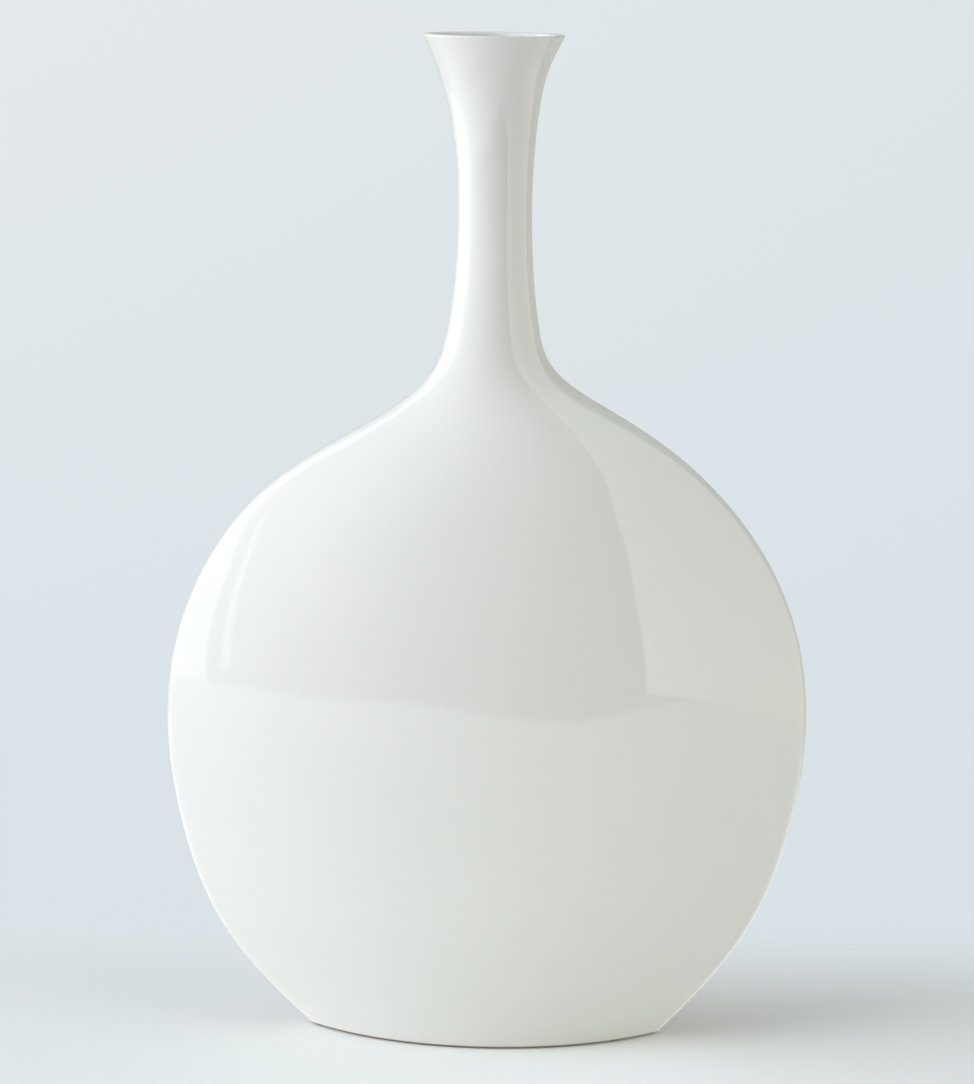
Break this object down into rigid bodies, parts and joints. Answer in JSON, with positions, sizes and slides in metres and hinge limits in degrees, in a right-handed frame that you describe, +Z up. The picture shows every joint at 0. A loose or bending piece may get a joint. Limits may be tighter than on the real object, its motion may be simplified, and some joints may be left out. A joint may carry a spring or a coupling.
{
  "type": "vase",
  "caption": "Flattened porcelain bottle vase with a slim round neck and a flared mouth, standing on a pointed-oval foot ring.",
  "frame": {"origin": "middle of the object's box at the height of the table the vase stands on", "axes": "+Z up through the mouth, +X to the right across the wide side, the broad front faces -Y"},
  "size_m": [0.2693, 0.1032, 0.42],
  "materials": {
    "glaze": "gloss",
    "bare_foot": "matte"
  },
  "bodies": {
    "root": {"front_half_shell": "glaze", "rear_half_shell": "glaze", "neck": "glaze", "floor_plate": "glaze", "foot_ring": "bare_foot"}
  },
  "joints": []
}
